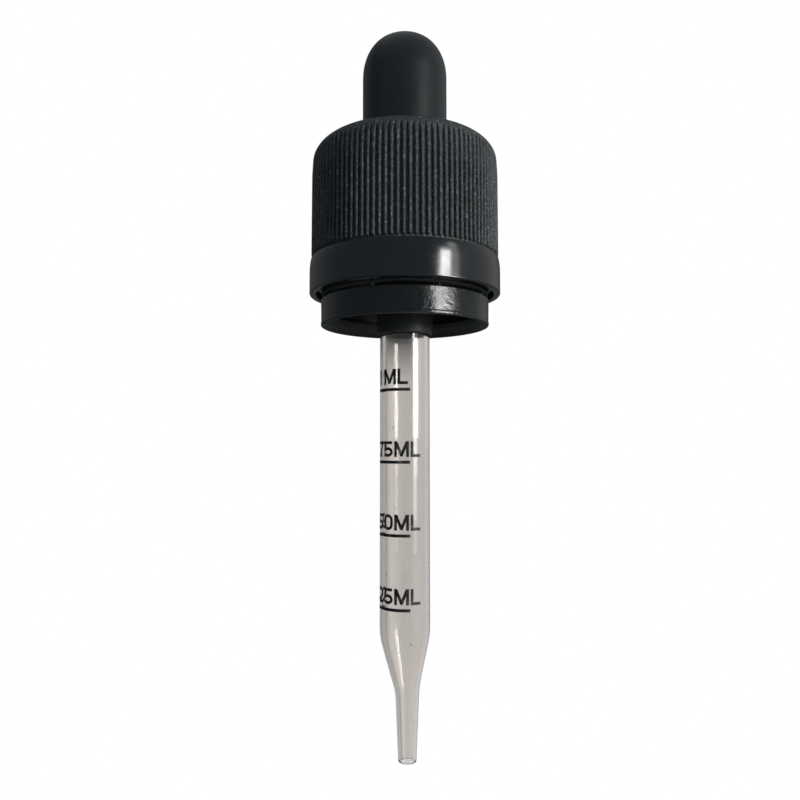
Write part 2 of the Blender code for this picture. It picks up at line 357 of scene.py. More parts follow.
def noise(tree, scale, detail=3.0, roughness=0.55, stretch=(1, 1, 1)):
    """Noise in the object's own coordinates. scale is in features per metre."""
    place = tree.nodes.new("ShaderNodeTexCoord")
    mapping = tree.nodes.new("ShaderNodeMapping")
    mapping.inputs["Scale"].default_value = stretch
    made = tree.nodes.new("ShaderNodeTexNoise")
    made.inputs["Scale"].default_value = scale
    made.inputs["Detail"].default_value = detail
    made.inputs["Roughness"].default_value = roughness
    tree.links.new(place.outputs["Object"], mapping.inputs["Vector"])
    tree.links.new(mapping.outputs["Vector"], made.inputs["Vector"])
    return made.outputs["Fac"]


def ramp(tree, source, stops):
    """A colour ramp over a value. stops are (place, colour) pairs."""
    made = tree.nodes.new("ShaderNodeValToRGB")
    elements = made.color_ramp.elements
    while len(elements) < len(stops):
        elements.new(0.5)
    for element, (place, colour) in zip(elements, stops):
        element.position = place
        element.color = (*colour, 1.0)
    tree.links.new(source, made.inputs["Fac"])
    return made.outputs["Color"]


def spread(tree, source, low, high, start=0.3, stop=0.7):
    """Maps a value from start..stop to low..high, and holds it at both ends."""
    made = tree.nodes.new("ShaderNodeMapRange")
    made.inputs["From Min"].default_value = start
    made.inputs["From Max"].default_value = stop
    made.inputs["To Min"].default_value = low
    made.inputs["To Max"].default_value = high
    tree.links.new(source, made.inputs["Value"])
    return made.outputs["Result"]


def bump(tree, shader, layers):
    """Chains bumps. layers are (height, strength, depth in millimetres)."""
    before = None
    for height, strength, depth in layers:
        made = tree.nodes.new("ShaderNodeBump")
        made.inputs["Strength"].default_value = strength
        made.inputs["Distance"].default_value = depth * MM
        tree.links.new(height, made.inputs["Height"])
        if before:
            tree.links.new(before, made.inputs["Normal"])
        before = made.outputs["Normal"]
    tree.links.new(before, shader.inputs["Normal"])


BLACK = (0.0042, 0.0048, 0.0052)
WORN_BLACK = (0.0075, 0.0082, 0.0085)
GRIP_BLACK = (0.0185, 0.0228, 0.0245)
WORN_GRIP_BLACK = (0.0265, 0.0308, 0.0325)
# The light specks on the ribs are painted glints
GRIP_PAINTED_GLINT = (0.13, 0.135, 0.135)
# Lighter blacks for the parts in shade: painted light
HIDDEN_BLACK_PAINTED_LIGHT = (0.0185, 0.0215, 0.0232)
WORN_HIDDEN_BLACK_PAINTED_LIGHT = (0.027, 0.03, 0.0318)
RUBBER_BLACK = (0.009, 0.011, 0.0124)
WORN_RUBBER_BLACK = (0.0125, 0.0145, 0.0157)
RUBBER_DUST = (0.045, 0.048, 0.048)
GLASS_CLEAR = (0.868, 0.842, 0.82)
GLASS_SPECK = (0.2, 0.21, 0.19)
GLASS_TINT = (0.5, 0.46, 0.42, 1.0)
INK_BLACK = (0.008, 0.008, 0.009)
THIN_INK = (0.035, 0.035, 0.034)
WORN_INK = (0.3, 0.3, 0.29)


def grip_plastic():
    """The ribbed wall: matte, with a fine moulded grain that catches the light in points, and light specks in
    its colour that are painted glints of that grain.
    """
    made, tree, shader = new_material("grip_plastic", GRIP_BLACK, roughness=0.5, specular=0.6)
    grains = noise(tree, 3000, detail=2.0, roughness=0.6)
    colour = ramp(tree, grains, [(0.4, GRIP_BLACK), (0.57, WORN_GRIP_BLACK), (0.69, GRIP_PAINTED_GLINT)])
    tree.links.new(colour, shader.inputs["Base Color"])
    tree.links.new(spread(tree, noise(tree, 900), low=0.4, high=0.54), shader.inputs["Roughness"])
    bump(tree, shader, [(noise(tree, 2700, roughness=0.7), 1.0, 0.22)])
    return made


def skirt_plastic():
    """The smooth skirt: a satin gloss with faint rubbing marks."""
    made, tree, shader = new_material("skirt_plastic", BLACK, roughness=0.2, specular=0.62)
    colour = ramp(tree, noise(tree, 300), [(0.35, BLACK), (0.75, WORN_BLACK)])
    tree.links.new(colour, shader.inputs["Base Color"])
    rubbed = noise(tree, 700, detail=5.0, roughness=0.65, stretch=(1, 1, 2.5))
    tree.links.new(spread(tree, rubbed, low=0.12, high=0.19), shader.inputs["Roughness"])
    ripples, grain = noise(tree, 500, detail=2.0), noise(tree, 6000, detail=2.0)
    bump(tree, shader, [(ripples, 0.1, 0.02), (grain, 0.08, 0.004)])
    return made


def band_plastic():
    """The tamper band: glossier, with an uneven scuffed surface that breaks its highlight up."""
    made, tree, shader = new_material("band_plastic", BLACK, roughness=0.2, specular=0.44)
    colour = ramp(tree, noise(tree, 400), [(0.4, BLACK), (0.75, WORN_BLACK)])
    tree.links.new(colour, shader.inputs["Base Color"])
    scuffs = noise(tree, 1100, detail=4.0, roughness=0.7)
    rough = spread(tree, scuffs, low=0.12, high=0.27, start=0.35, stop=0.65)
    tree.links.new(rough, shader.inputs["Roughness"])
    dents, grain = noise(tree, 1500, roughness=0.65), noise(tree, 5000, detail=2.0)
    bump(tree, shader, [(dents, 0.8, 0.07), (grain, 0.3, 0.01)])
    return made


def inner_plastic():
    """The parts inside: moulded black, painted lighter than the outside black as painted light in their shade.
    """
    made, tree, shader = new_material("inner_plastic_looks", HIDDEN_BLACK_PAINTED_LIGHT, roughness=0.5, specular=0.4)
    colour = ramp(tree, noise(tree, 350), [(0.35, HIDDEN_BLACK_PAINTED_LIGHT), (0.75, WORN_HIDDEN_BLACK_PAINTED_LIGHT)])
    tree.links.new(colour, shader.inputs["Base Color"])
    tree.links.new(spread(tree, noise(tree, 900), low=0.46, high=0.6), shader.inputs["Roughness"])
    bump(tree, shader, [(noise(tree, 3500, detail=2.0), 0.2, 0.01)])
    return made


def bulb_rubber():
    """The rubber: matte and slightly dusty, with a very fine grain."""
    made, tree, shader = new_material("bulb_rubber", RUBBER_BLACK, roughness=0.4, specular=0.18)
    dust = noise(tree, 2600, detail=4.0, roughness=0.75)
    colour = ramp(tree, dust, [(0.5, RUBBER_BLACK), (0.68, WORN_RUBBER_BLACK), (0.8, RUBBER_DUST)])
    tree.links.new(colour, shader.inputs["Base Color"])
    tree.links.new(spread(tree, noise(tree, 450), low=0.36, high=0.44), shader.inputs["Roughness"])
    shader.inputs["Sheen Weight"].default_value = 0.15
    shader.inputs["Sheen Roughness"].default_value = 0.5
    ripples, grain = noise(tree, 700, detail=2.0), noise(tree, 7000)
    bump(tree, shader, [(ripples, 0.1, 0.03), (grain, 0.35, 0.012)])
    return made


def pipette_glass():
    """Clear glass with a faint warm grey tint, the slight waviness of drawn tube and a few dark specks."""
    made, tree, shader = new_material("pipette_glass", GLASS_CLEAR, roughness=0.0, specular=0.5)
    specks = ramp(tree, noise(tree, 1500, detail=1.0), [(0.77, GLASS_CLEAR), (0.8, GLASS_SPECK)])
    tree.links.new(specks, shader.inputs["Base Color"])
    shader.inputs["Transmission Weight"].default_value = 1.0
    shader.inputs["IOR"].default_value = 1.49
    haze = spread(tree, noise(tree, 500, detail=2.0), low=0.015, high=0.04, start=0.4, stop=0.7)
    tree.links.new(haze, shader.inputs["Roughness"])
    draw_lines = noise(tree, 160, detail=1.0, roughness=0.5, stretch=(1, 1, 0.25))
    bump(tree, shader, [(draw_lines, 0.04, 0.03)])
    body = tree.nodes.new("ShaderNodeVolumeAbsorption")
    body.inputs["Color"].default_value = GLASS_TINT
    body.inputs["Density"].default_value = 280.0
    tree.links.new(body.outputs["Volume"], tree.nodes["Material Output"].inputs["Volume"])
    return made


def ink():
    """Fired black ink, thinner and greyer in places."""
    made, tree, shader = new_material("ink", INK_BLACK, roughness=0.45, specular=0.3)
    wear = noise(tree, 1000, detail=5.0, roughness=0.8)
    colour = ramp(tree, wear, [(0.48, INK_BLACK), (0.59, THIN_INK), (0.7, WORN_INK)])
    tree.links.new(colour, shader.inputs["Base Color"])
    bump(tree, shader, [(noise(tree, 6000, detail=2.0), 0.3, 0.004)])
    return made


# ---------------------------------------------------------------- outer cap


def tooth_rise(angles, span, height):
    """How far drive teeth stand out at each angle, with short ramps on their flanks."""
    part = (angles / TURN * TEETH) % 1.0
    rise = np.minimum((part - span[0]) / TOOTH_RAMP_SHARE, (span[1] - part) / TOOTH_RAMP_SHARE)
    return height * np.clip(rise, 0.0, 1.0)


def teeth_rows(level, height, span, inwards):
    """Rows across a flat ring with drive teeth. They run outwards, or inwards if that is asked."""
    rows = [
        (TOOTH_INNER_R, level),
        lambda a: (TOOTH_INNER_R + TOOTH_END_SLOPE, level + tooth_rise(a, span, height)),
        lambda a: (TOOTH_OUTER_R - TOOTH_END_SLOPE, level + tooth_rise(a, span, height)),
        (TOOTH_OUTER_R, level),
    ]
    return rows[::-1] if inwards else rows


def rib_rise(angles, r, above_end):
    """The ribs' height over the grooves: rounded ridges whose lower ends are rounded too."""
    across = ((angles / TURN * RIBS + RIB_PHASE + 0.5) % 1.0 - 0.5) * TURN / RIBS * r
    past = max(0.0, RIB_HALF_WIDTH - above_end)
    distance = np.hypot(across, past) / RIB_HALF_WIDTH
    return RIB_HEIGHT * np.sqrt(np.clip(1.0 - distance**2, 0.0, 1.0))


def groove_r(z):
    """The radius of the grooves' straight bottoms, which lean in a little towards the top."""
    share = (z - SKIRT_TOP) / (SHELL_HIGH.z - SKIRT_TOP)
    return GROOVE_BOTTOM_R - GROOVE_LEAN * share


def grip_row(body_r, z, above_end):
    """A row where straight grooves are cut into the body, and run out where its shoulder turns in."""

    def place(angles):
        ribbed = groove_r(z) + rib_rise(angles, body_r, above_end)
        gap = body_r - ribbed
        return 0.5 * (body_r + ribbed - np.sqrt(gap * gap + RUN_OUT_BLEND**2)), z

    return place


def grip_rows():
    """From the flat top, over the smooth shoulder and down between the ribs to the skirt."""
    centre_z = SHELL_HIGH.z - SHOULDER_DROP
    over = ellipse(BODY_TOP_R - SHOULDER_ACROSS, centre_z, SHOULDER_ACROSS, SHOULDER_DROP, 90, 0, 64)
    rows = [(r, z) for r, z in over if r < groove_r(z) - RUN_OUT_START]
    cut = [(r, z) for r, z in over if r >= groove_r(z) - RUN_OUT_START]
    cut += [(UNCUT_R, z) for z in np.linspace(centre_z, FINE_ROWS_TOP, 8)[1:]]
    cut += [(UNCUT_R, FINE_ROWS_TOP - FINE_ROW_STEP * k) for k in range(1, 12)]
    return rows + [grip_row(r, z, z - RIB_FOOT) for r, z in cut]


def skirt_rows():
    """From the skirt's top edge, down, round its rim, and up the inside to the hole in the top."""
    outer = [(SHELL_HIGH.x - SKIRT_TURN_IN, SKIRT_TOP, 0.09)]
    for share in SKIRT_TURN_SHARES:
        outer.append((SHELL_HIGH.x - SKIRT_TURN_IN * share**3, SKIRT_TOP - SKIRT_TURN_HEIGHT * (1 - share)))
    outer += [
        (SHELL_HIGH.x, SHELL_LOW.z, 0.24),
        (SKIRT_INNER_R, SHELL_LOW.z, 0.12),
        (SKIRT_INNER_R, BEAD_Z - 0.65, 0.1),
        (BEAD_R, BEAD_Z - 0.22, 0.12),
        (BEAD_R, BEAD_Z + 0.22, 0.12),
        (SKIRT_INNER_R, BEAD_Z + 0.4, 0.05),
        (SKIRT_INNER_R, SKIRT_TOP + 0.05, 0.1),
        (SHELL_INNER_R, SKIRT_TOP + 0.3, 0.1),
        (SHELL_INNER_R, SHELL_UNDERSIDE, 0.6),
        (TOOTH_OUTER_R + 0.1, SHELL_UNDERSIDE),
    ]
    section = rounded([(GROOVE_BOTTOM_R, SKIRT_TOP + 0.15)] + outer, closed=False)[1:]
    teeth = teeth_rows(SHELL_UNDERSIDE, -OUTER_TOOTH_HEIGHT, OUTER_TOOTH_SPAN, True)
    hole = rounded(
        [
            (TOOTH_INNER_R - 0.1, SHELL_UNDERSIDE),
            (BULB_HOLE_R, SHELL_UNDERSIDE, 0.1),
            (BULB_HOLE_R, SHELL_HIGH.z, 0.18),
            (BULB_HOLE_R + 0.6, SHELL_HIGH.z),
        ],
        closed=False,
    )
    return section + teeth + hole


def outer_cap():
    """The outer shell: ribbed above and smooth below, with a bead inside and teeth under its top."""
    grip, skirt = grip_rows(), skirt_rows()
    made = turned("outer_cap_shell", [(grip, RIBS * STEPS_PER_RIB), (skirt, PLAIN_STEPS)], 42)
    made.data.materials.append(grip_plastic())
    made.data.materials.append(skirt_plastic())
    for polygon in made.data.polygons:
        level = polygon.center.z / MM
        radius = math.hypot(polygon.center.x, polygon.center.y) / MM
        smooth = level < SKIRT_TOP + LEDGE_RISE or radius < SHELL_INNER_R + 0.05
        polygon.material_index = 1 if smooth and level < SHELL_HIGH.z - 0.5 else 0
    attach(made, "outer_shell")
    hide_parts("outer_cap")


# ---------------------------------------------------------------- inner cap


def thread_row(z):
    """A row of the threaded bore: a rounded trapezoid ridge that winds round and fades at both ends."""

    def place(angles):
        phase = ((z - THREAD_PITCH * angles / TURN) / THREAD_PITCH) % 1.0
        ridge = np.clip((THREAD_HALF_WIDTH - np.abs(phase - 0.5)) / THREAD_FLANK, 0.0, 1.0)
        ridge = ridge * ridge * (3 - 2 * ridge)
        fade = np.clip(min(z - THREAD_LOW, THREAD_HIGH - z) / THREAD_FADE, 0.0, 1.0)
        return THREAD_ROOT_R - THREAD_DEPTH * ridge * fade, z

    return place


def collar_rows():
    """From the plug's bore, over the collar round the bulb's flange, out to the teeth."""
    return rounded(
        [
            (PLUG_BORE_R, INNER_TOP, 0.05),
            (COLLAR_BORE_R, INNER_TOP, 0.08),
            (COLLAR_BORE_R, COLLAR_LIP_BOTTOM, 0.05),
            (COLLAR_LIP_R, COLLAR_LIP_BOTTOM + 0.15, 0.06),
            (COLLAR_LIP_R + 0.2, COLLAR_TOP, 0.06),
            (COLLAR_R, COLLAR_TOP, 0.15),
            (COLLAR_R, INNER_TOP, 0.15),
            (TOOTH_INNER_R - 0.1, INNER_TOP),
        ],
        closed=False,
        points=4,
    )


def wall_rows():
    """Down the outside, over the flange, round the hem and up the inside to the thread."""
    return rounded(
        [
            (TOOTH_OUTER_R + 0.02, INNER_TOP),
            (INNER_R, INNER_TOP, 0.1),
            (INNER_R, FLANGE_Z + 1.6, 0.4),
            (INNER_HIGH.x, FLANGE_Z + 0.4, 0.15),
            (INNER_HIGH.x, FLANGE_Z - 0.4, 0.1),
            (HEM_R, FLANGE_Z - 0.4, 0.1),
            (HEM_R, HEM_BOTTOM, 0.15),
            (INNER_R, HEM_BOTTOM, 0.15),
            (INNER_R, FLANGE_Z + 0.1, 0.4),
            (THREAD_ROOT_R, FLANGE_Z + 1.4, 0.3),
            (THREAD_ROOT_R, THREAD_LOW - 0.2),
        ],
        closed=False,
        points=4,
    )


def plug_rows():
    """Across the sealing face, down the tapered plug and up its bore."""
    return rounded(
        [
            (THREAD_ROOT_R, THREAD_HIGH + 0.2),
            (THREAD_ROOT_R, 0.0, 0.3),
            (PLUG_ROOT_R, 0.0, 0.5),
            (PLUG_END_R, INNER_LOW.z, 0.22),
            (PLUG_BORE_R, INNER_LOW.z, 0.04),
            (PLUG_BORE_R, INNER_TOP - 0.1),
        ],
        closed=False,
    )


def inner_cap(surface):
    """The threaded cap inside, which seals the bottle and holds the glass and the bulb."""
    teeth = teeth_rows(INNER_TOP, INNER_TOOTH_HEIGHT, INNER_TOOTH_SPAN, False)
    thread = [thread_row(z) for z in np.linspace(THREAD_LOW, THREAD_HIGH, THREAD_ROWS)]
    rows = collar_rows() + teeth + wall_rows() + thread + plug_rows()
    made = turned("inner_cap_body", [(rows, INNER_STEPS)], 45)
    made.data.materials.append(surface)
    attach(made, "inner_assembly")
    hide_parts("inner_cap")


# ---------------------------------------------------------------- band, spring and bridges


def tamper_band(surface):
    """The ring that tears off, with a thin lip at its foot and a fold inside that grips the bottle."""
    section = rounded(
        [
            (BAND_INNER_R, BAND_HIGH.z, 0.12),
            (BAND_HIGH.x, BAND_HIGH.z, 0.15),
            (BAND_HIGH.x - 0.05, BAND_LOW.z + 0.55, 0.25),
            (BAND_HIGH.x, BAND_LIP_TOP, 0.1),
            (BAND_HIGH.x, BAND_LOW.z, 0.16),
            (BAND_HIGH.x - 0.5, BAND_LOW.z, 0.16),
            (BAND_INNER_R, BAND_LOW.z + 0.6, 0.5),
            (HOOK_R + 0.25, BAND_LOW.z + 1.2, 0.6),
            (HOOK_R, BAND_LOW.z + 1.9, 0.08),
            (HOOK_R + 0.3, HOOK_TOP, 0.08),
            (BAND_INNER_R, HOOK_TOP, 0.1),
        ]
    )
    made = turned("tamper_band_ring", [(section, BAND_STEPS)], 45)
    made.data.materials.append(band_plastic())
    made.data.materials.append(surface)
    # The rim's foot gets the lighter inner black as a painted highlight line, and the inside gets it as
    # painted light in the shade
    for polygon in made.data.polygons:
        radius = math.hypot(polygon.center.x, polygon.center.y) / MM
        painted_rim_highlight = polygon.center.z / MM < PAINTED_RIM_HIGHLIGHT_TOP
        polygon.material_index = 1 if painted_rim_highlight or radius < BAND_INNER_R + 0.15 else 0
    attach(made, "band")
    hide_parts("tamper_band")


def push_spring(surface):
    """A ring with eight curved leaves under it, which stand on the inner cap."""
    edge = 0.05
    section = rounded(
        [
            (SPRING_INNER_R, SPRING_HIGH.z, edge),
            (SPRING_HIGH.x, SPRING_HIGH.z, edge),
            (SPRING_HIGH.x, SPRING_RING_BOTTOM, edge),
            (SPRING_INNER_R, SPRING_RING_BOTTOM, edge),
        ],
        points=3,
    )
    made = turned("push_spring_leaves", [(section, LEAVES * STEPS_PER_LEAF)], 40)
    bm = bmesh.new()
    bm.from_mesh(made.data)
    for leaf in range(LEAVES):
        start = leaf * TURN / LEAVES
        under = [face for face in bm.faces if is_leaf_root(face, start)]
        draw_leaf(bm, under)
    bmesh.ops.recalc_face_normals(bm, faces=bm.faces)
    bm.to_mesh(made.data)
    bm.free()
    made.data.set_sharp_from_angle(angle=math.radians(40))
    made.data.materials.append(surface)
    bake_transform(made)
    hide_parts("push_spring")


def is_leaf_root(face, start):
    """A face of the ring's flat underside within a leaf's width of this angle."""
    centre = face.calc_center_median() / MM
    turned_past = (math.atan2(centre.y, centre.x) - start) % TURN
    return face.normal.z < -0.99 and centre.z < SPRING_RING_BOTTOM + 0.01 and turned_past < LEAF_WIDTH


def draw_leaf(bm, faces):
    """Draws a leaf down from these faces, in stages that turn it round the axis."""
    drop = (SPRING_LOW.z - SPRING_RING_BOTTOM) * MM / LEAF_STAGES
    turning = Matrix.Rotation(LEAF_SWEEP / LEAF_STAGES, 3, "Z")
    for _ in range(LEAF_STAGES):
        drawn = bmesh.ops.extrude_face_region(bm, geom=faces)["geom"]
        bmesh.ops.delete(bm, geom=faces, context="FACES_ONLY")
        faces = [item for item in drawn if isinstance(item, bmesh.types.BMFace)]
        corners = [item for item in drawn if isinstance(item, bmesh.types.BMVert)]
        bmesh.ops.rotate(bm, verts=corners, cent=(0, 0, 0), matrix=turning)
        bmesh.ops.translate(bm, verts=corners, vec=(0, 0, drop))


def bridges(surface):
    """The breakable bridges keep their CAD shape and get the finished plastic."""
    for name, node in frame["nodes"].items():
        if name.startswith("tamper_bridge_"):
            for slot in node.material_slots:
                slot.material = surface


# ---------------------------------------------------------------- bulb


def rubber_bulb():
    """A hollow teat on a flange, with a neck round the glass."""
    dome_z = CROWN_Z - DOME_HEIGHT
    inner_r = BULB_R - BULB_WALL
    outside = dome(CROWN_R, dome_z, BULB_R - CROWN_R, DOME_HEIGHT, DOME_FULLNESS, 48)
    wall = [(BULB_R, dome_z - (dome_z - BULB_WALL_FOOT) * k / 24) for k in range(1, 24)]
    base = rounded(
        [
            (BULB_R, BULB_WALL_FOOT),
            (BULB_R, BULB_FLANGE_TOP, 0.3),
            (BULB_HIGH.x, BULB_FLANGE_TOP, 0.15),
            (BULB_HIGH.x, BULB_LOW.z, 0.15),
            (PLUG_BORE_R, BULB_LOW.z, 0.05),
            (PLUG_BORE_R, BULB_NECK_TOP, 0.25),
            (inner_r, BULB_NECK_TOP, 0.3),
            (inner_r, BULB_NECK_TOP + 1.0),
        ],
        closed=False,
    )
    bore = [(inner_r, z) for z in np.linspace(BULB_NECK_TOP + 1.4, dome_z - 0.4, 18)]
    inside = ellipse(CROWN_R, dome_z, inner_r - CROWN_R, DOME_HEIGHT - BULB_WALL, 0, 90, 24)
    rows = [(0, CROWN_Z)] + outside + wall + base + bore + inside + [(0, CROWN_Z - BULB_WALL)]
    made = turned("bulb_rubber_teat", [(rows, BULB_STEPS)], 50)
    made.data.materials.append(bulb_rubber())
    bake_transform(made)
    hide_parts("rubber_bulb")


# ---------------------------------------------------------------- glass and its printing


def lean(z):
    """Sideways drift of the flame-drawn tip, which is never quite on the axis."""
    start, end = LEAN_SPAN
    share = min(1.0, max(0.0, (start - z) / (start - end)))
    return TIP_LEAN * share * share * (3 - 2 * share)


def glass_wall_rows():
    """Down the outside of the tube, round its tip and up its bore."""
    bore_r = GLASS_R - GLASS_WALL
    return rounded(
        [
            (GLASS_R, TOP_BEAD_Z - 1.2),
            (GLASS_R, CONE_TOP, 10.0),
            (CONE_BOTTOM_R, CONE_BOTTOM, 12.0),
            (TIP_R, TIP_Z, 0.1),
            (TIP_R - TIP_WALL, TIP_Z, 0.1),
            (CONE_BOTTOM_R - TIP_WALL - 0.05, CONE_BOTTOM, 12.0),
            (bore_r, CONE_TOP - 0.2, 10.0),
            (bore_r, GLASS_HIGH.z - 0.6),
        ],
        closed=False,
        points=14,
    )


def top_bead_rows():
    """Over the fire-polished bead at the tube's top, from its bore to its outside."""
    bore_r = GLASS_R - GLASS_WALL
    rows = [
        (bore_r + 0.06, GLASS_HIGH.z - 0.25),
        (bore_r + 0.25, GLASS_HIGH.z - 0.05),
        (GLASS_R - 0.2, GLASS_HIGH.z),
    ]
    return rows + ellipse(GLASS_R - 0.05, TOP_BEAD_Z, GLASS_HIGH.x - GLASS_R + 0.05, 0.52, 75, -60, 12)


def glass_pipette():
    """The tube, drawn down to a narrow tip that drifts a little to one side."""
    made = turned("pipette_tube", [(top_bead_rows() + glass_wall_rows(), GLASS_STEPS)], 60)
    for vertex in made.data.vertices:
        vertex.co.x += lean(vertex.co.z / MM) * MM
    made.data.materials.append(pipette_glass())
    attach(made, "inner_assembly")
    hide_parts("glass_pipette")


def stroke(path):
    """The outline of a stroke along a path, with square ends and mitred corners."""
    points = [Vector(p) for p in path]
    left, right = [], []
    for i, here in enumerate(points):
        into = (here - points[i - 1]).normalized() if i else (points[1] - here).normalized()
        out = (points[i + 1] - here).normalized() if i < len(points) - 1 else into
        side_in, side_out = Vector((-into.y, into.x)), Vector((-out.y, out.x))
        side = (side_in + side_out).normalized()
        reach = STROKE / 2 / max(SHARPEST_MITRE, side.dot(side_in))
        left.append(here + side * reach)
        right.append(here - side * reach)
    return left + right[::-1]


# Each glyph is (outline, width) of a plain upright shape that stands on height 0


def glyph_point():
    side = STROKE * 1.1
    return [(0, 0), (side, 0), (side, side), (0, side)], side


def glyph_one():
    """The 1 with the clear space that follows it in its digit's cell."""
    h, right = LETTER_HEIGHT, ONE_WIDTH
    stem = [(right - STROKE, 0), (right, 0), (right, h), (right - STROKE, h)]
    flag = [(0, h * 0.74), (0, h * 0.56), (right - STROKE, h * 0.8)]
    return stem + flag, right + ONE_SPACE


def glyph_l():
    h, t = LETTER_HEIGHT, STROKE
    return [(0, 0), (L_WIDTH, 0), (L_WIDTH, t), (t, t), (t, h), (0, h)], L_WIDTH


def glyph_m():
    h, t, w = LETTER_HEIGHT, STROKE, M_WIDTH
    slant, dip, crotch = t * 1.12, h * 0.03, h * 0.56
    middle, flat = w / 2, t / 2 * 0.8
    left_leg = [(0, 0), (t, 0), (t, crotch), (middle - flat, dip)]
    right_leg = [(middle + flat, dip), (w - t, crotch), (w - t, 0), (w, 0), (w, h)]
    notch = [(w - slant, h), (middle, dip + t * 1.7), (slant, h), (0, h)]
    return left_leg + right_leg + notch, w


def glyph_seven():
    h, w, half = LETTER_HEIGHT, DIGIT_WIDTH, STROKE / 2
    return stroke([(0, h - half), (w - half * 1.1, h - half), (w * 0.42, 0)]), w


def glyph_five():
    h, w, half = LETTER_HEIGHT, DIGIT_WIDTH, STROKE / 2
    centre = w / 2 * 0.92
    bowl = ellipse(centre, h * 0.31, w - half - centre, h * 0.31 - half, 128, -155, 22)
    return stroke([(w * 0.93, h - half), (half + 0.06, h - half), (half, h * 0.46)] + bowl), w


def glyph_two():
    h, w, half = LETTER_HEIGHT, DIGIT_WIDTH, STROKE / 2
    mid = w / 2
    crown = ellipse(mid, h - mid, mid - half, mid - half, 168, -32, 18)
    return stroke(crown + [(half * 1.3, half + 0.02), (w, half)]), w


def glyph_zero():
    h, w, half = LETTER_HEIGHT, DIGIT_WIDTH, STROKE / 2
    mid = w / 2
    ring = ellipse(mid, h - mid, mid - half, mid - half, 180, 0, 14)
    ring += ellipse(mid, mid, mid - half, mid - half, 0, -180, 14)
    return stroke(ring + ring[:1]), w


GLYPHS = {
    ".": glyph_point(),
    "0": glyph_zero(),
    "1": glyph_one(),
    "2": glyph_two(),
    "5": glyph_five(),
    "7": glyph_seven(),
    "L": glyph_l(),
    "M": glyph_m(),
}


def flat_patch(bm, outline, across, up):
    """Adds a filled outline to the flat drawing, moved into place."""
    corners = [Vector((x + across, y + up, 0)) for x, y in outline]
    made = [bm.verts.new(corner) for corner in corners]
    for triangle in tessellate_polygon([corners]):
        bm.faces.new([made[i] for i in triangle])


def text_width(text):
    """The width of a line of text, gaps included."""
    return sum(GLYPHS[character][1] for character in text) + LETTER_GAP * (len(text) - 1)


def cut_finely(bm):
    """Cuts the flat drawing into narrow upright strips, so that it bends round the tube."""
    cut, stop = CUT_SPAN
    while cut < stop:
        everything = bm.verts[:] + bm.edges[:] + bm.faces[:]
        bmesh.ops.bisect_plane(bm, geom=everything, plane_co=(cut, 0, 0), plane_no=(1, 0, 0))
        cut += CUT_STEP
    bmesh.ops.recalc_face_normals(bm, faces=bm.faces)


def wrap_on_glass(name, bm, surface):
    """Gives the flat drawing a little thickness and wraps it on the tube.

    In the drawing x is the distance round the tube from its front, and y is the height.
    """
    made = bmesh.ops.extrude_face_region(bm, geom=bm.faces[:])
    top = [item for item in made["geom"] if isinstance(item, bmesh.types.BMVert)]
    bmesh.ops.translate(bm, verts=top, vec=(0, 0, INK_THICK))
    for vertex in bm.verts:
        angle = FRONT + vertex.co.x / GLASS_R
        radius = GLASS_R + INK_RAISE + vertex.co.z
        vertex.co = (radius * math.cos(angle) * MM, radius * math.sin(angle) * MM, vertex.co.y * MM)
    bmesh.ops.recalc_face_normals(bm, faces=bm.faces)
    mesh = bpy.data.meshes.new(name)
    bm.to_mesh(mesh)
    bm.free()
    mesh.materials.append(surface)
    made = bpy.data.objects.new(name, mesh)
    bpy.context.scene.collection.objects.link(made)
    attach(made, "inner_assembly")


def graduations():
    """The four marks: a volume over its line, wrapped round the glass."""
    surface = ink()
    for number, (text, right_end) in enumerate(MARKS):
        level = FIRST_MARK - MARK_SPACING * number
        bm = bmesh.new()
        low, high = level - LINE_THICK / 2, level + LINE_THICK / 2
        left, right = LINE_ENDS
        flat_patch(bm, [(left, low), (right, low), (right, high), (left, high)], 0, 0)
        across = right_end - text_width(text)
        for character in text:
            outline, width = GLYPHS[character]
            flat_patch(bm, outline, across, high + LINE_GAP)
            across += width + LETTER_GAP
        cut_finely(bm)
        wrap_on_glass("graduation_" + text.strip(".").lower(), bm, surface)


# ---------------------------------------------------------------- studio


# Name, azimuth, width, low edge, high edge and radiance of each part of the window, from its top down
WINDOW_PARTS = [
    ("window_top", 57.5, 90, 215, 300, 1.6),
    ("window_upper", 48, 110, 145, 180, 5),
    ("window_edge", 59, 90, -60, 300, 1.7),
    ("window", 47.3, 104, 96, 145, 24.5),
    ("window_middle", 41.8, 64, 50, 96, 21),
    ("window_low", 51.5, 176, 2, 50, 29),
    ("window_sill", 51.5, 176, -29, 2, 19),
    ("window_low_edge", 67, 100, -29, 50, 2.6),
    ("window_foot", 50, 140, -62, -29, 6.5),
    ("window_foot_dim", 50, 140, -95, -62, 3.9),
    ("window_foot_last", 50, 140, -122, -95, 1.8),
]
PANEL_DISTANCE = 500

# Radiance by direction, from the front (0) to behind the object (1)
BEHIND_STOPS = [
    (0.6, (0.168, 0.215, 0.242)),
    (0.75, (0.2, 0.205, 0.205)),
    (0.9, (0.15, 0.146, 0.142)),
    (1.0, (0.06, 0.058, 0.056)),
]

# More radiance, from the object's left (0) to its right (1)
BESIDE_STOPS = [
    (0.72, (0.0, 0.0, 0.0)),
    (0.87, (0.24, 0.24, 0.23)),
]

# What the glass shows, from due left (0) to due right (1): painted shade and light of the surroundings, which
# only the glass sees
THROUGH_GLASS_STOPS = [
    (0.0, (0.62, 0.62, 0.62)),
    (0.2, (0.6, 0.6, 0.6)),
    (0.29, (0.42, 0.42, 0.42)),
    (0.36, (0.7, 0.7, 0.7)),
    (0.42, (0.96, 0.96, 0.96)),
    (0.467, (0.85, 0.85, 0.85)),
    (0.5, (0.73, 0.73, 0.73)),
    (0.57, (0.82, 0.82, 0.82)),
    (0.66, (0.88, 0.88, 0.88)),
    (1.0, (0.8, 0.8, 0.8)),
]

